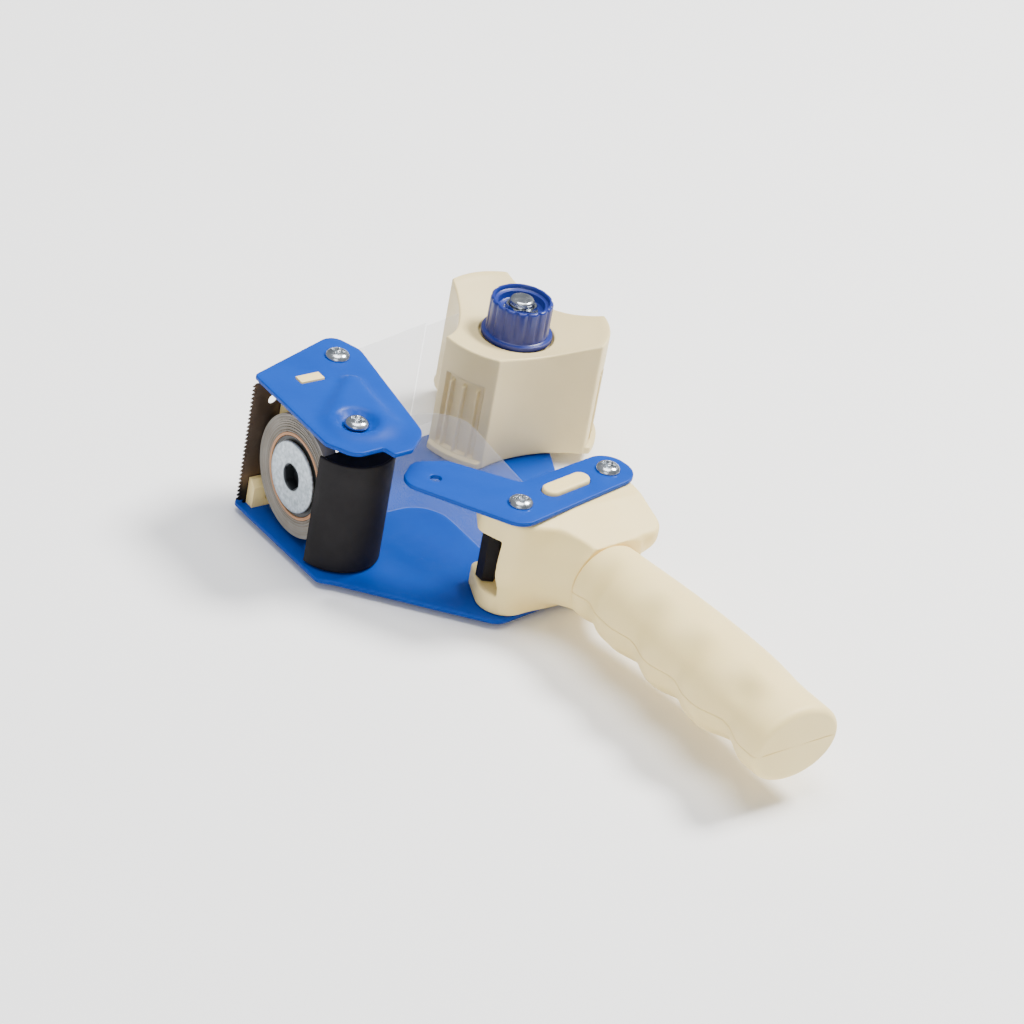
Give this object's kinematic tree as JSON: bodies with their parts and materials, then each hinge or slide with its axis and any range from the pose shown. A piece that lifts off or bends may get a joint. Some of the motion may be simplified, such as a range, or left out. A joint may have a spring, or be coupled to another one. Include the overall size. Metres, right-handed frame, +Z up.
{
  "type": "tape dispenser",
  "caption": "Hand-held packing tape dispenser with a tape hub and tension knob, toothed blade, curved front guide and finger-grooved handle, lying on its side.",
  "frame": {"origin": "middle of the footprint, on the surface that the dispenser lies on", "axes": "+Z is up, square to the base plate and along the hub axis; the handle runs towards -Y; the blade and the working edge face -X"},
  "size_m": [0.1696, 0.2916, 0.0653],
  "materials": {
    "blue_steel": "satin blue powder coat",
    "zinc_steel": "bright zinc plate",
    "spring_steel": "oiled spring wire",
    "blade_steel": "oil-blackened spring steel with a brown cast",
    "hub_plastic": "satin moulded",
    "handle_plastic": "fine moulded texture",
    "knob_plastic": "semi-gloss moulded",
    "guide_plastic": "matte black",
    "bushing_plastic": "satin black",
    "fibre_washer": "vulcanised fibre",
    "wound_tape": "edges of wound layers",
    "kraft_core": "kraft board",
    "clear_film": "thin clear plastic film"
  },
  "bodies": {
    "frame": {"base_plate": "blue_steel", "front_top_plate": "blue_steel", "rear_top_arm": "blue_steel", "top_screws": "zinc_steel", "bottom_screws": "zinc_steel", "spacer_post": "zinc_steel", "front_axle": "zinc_steel", "hub_bolt": "zinc_steel", "friction_washer": "fibre_washer", "tension_spring": "spring_steel", "guide_spring": "spring_steel", "reel_pin": "zinc_steel", "front_bracket": "handle_plastic", "cutting_blade": "blade_steel", "handle_head": "handle_plastic", "grip": "handle_plastic", "roller_pin": "zinc_steel", "guide_film": "clear_film", "leader_film": "clear_film"},
    "hub": {"tape_hub": "hub_plastic", "leader_tail": "clear_film"},
    "pressure_plate": {"pressure_washer": "zinc_steel"},
    "knob": {"tension_knob": "knob_plastic", "knob_insert": "zinc_steel"},
    "guide": {"front_guide": "guide_plastic"},
    "reel": {"reel_winding": "wound_tape", "reel_core": "kraft_core", "reel_bushing": "bushing_plastic"},
    "roller": {"guide_roller": "guide_plastic"}
  },
  "joints": [
    {"name": "hub_spin", "type": "hinge", "parent": "frame", "child": "hub", "pos_m": [0.04778, 0.10677, 0.0303], "axis": [0, 0, 1], "continuous": true},
    {"name": "knob_travel", "type": "slide", "parent": "frame", "child": "pressure_plate", "axis": [0, 0, 1], "range_m": [-0.0011, 0.00149], "deforming": ["tension_spring"]},
    {"name": "knob_turn", "type": "hinge", "parent": "pressure_plate", "child": "knob", "pos_m": [0.04778, 0.10677, 0.0546], "axis": [0, 0, 1], "range_deg": [-270, 360]},
    {"name": "guide_swing", "type": "hinge", "parent": "frame", "child": "guide", "pos_m": [-0.06552, 0.05327, 0.0286], "axis": [0, 0, 1], "range_deg": [-8, 14], "stiffness_Nm_per_rad": 0.05},
    {"name": "reel_spin", "type": "hinge", "parent": "frame", "child": "reel", "pos_m": [-0.07492, 0.07037, 0.031], "axis": [1, 0, 0], "continuous": true},
    {"name": "roller_spin", "type": "hinge", "parent": "frame", "child": "roller", "pos_m": [-0.02822, 0.00637, 0.0226], "axis": [0, 0, 1], "continuous": true}
  ],
  "couplings": [
    {"joint": "knob_turn", "follows": "knob_travel", "rad_per_m": 4188.8}
  ]
}
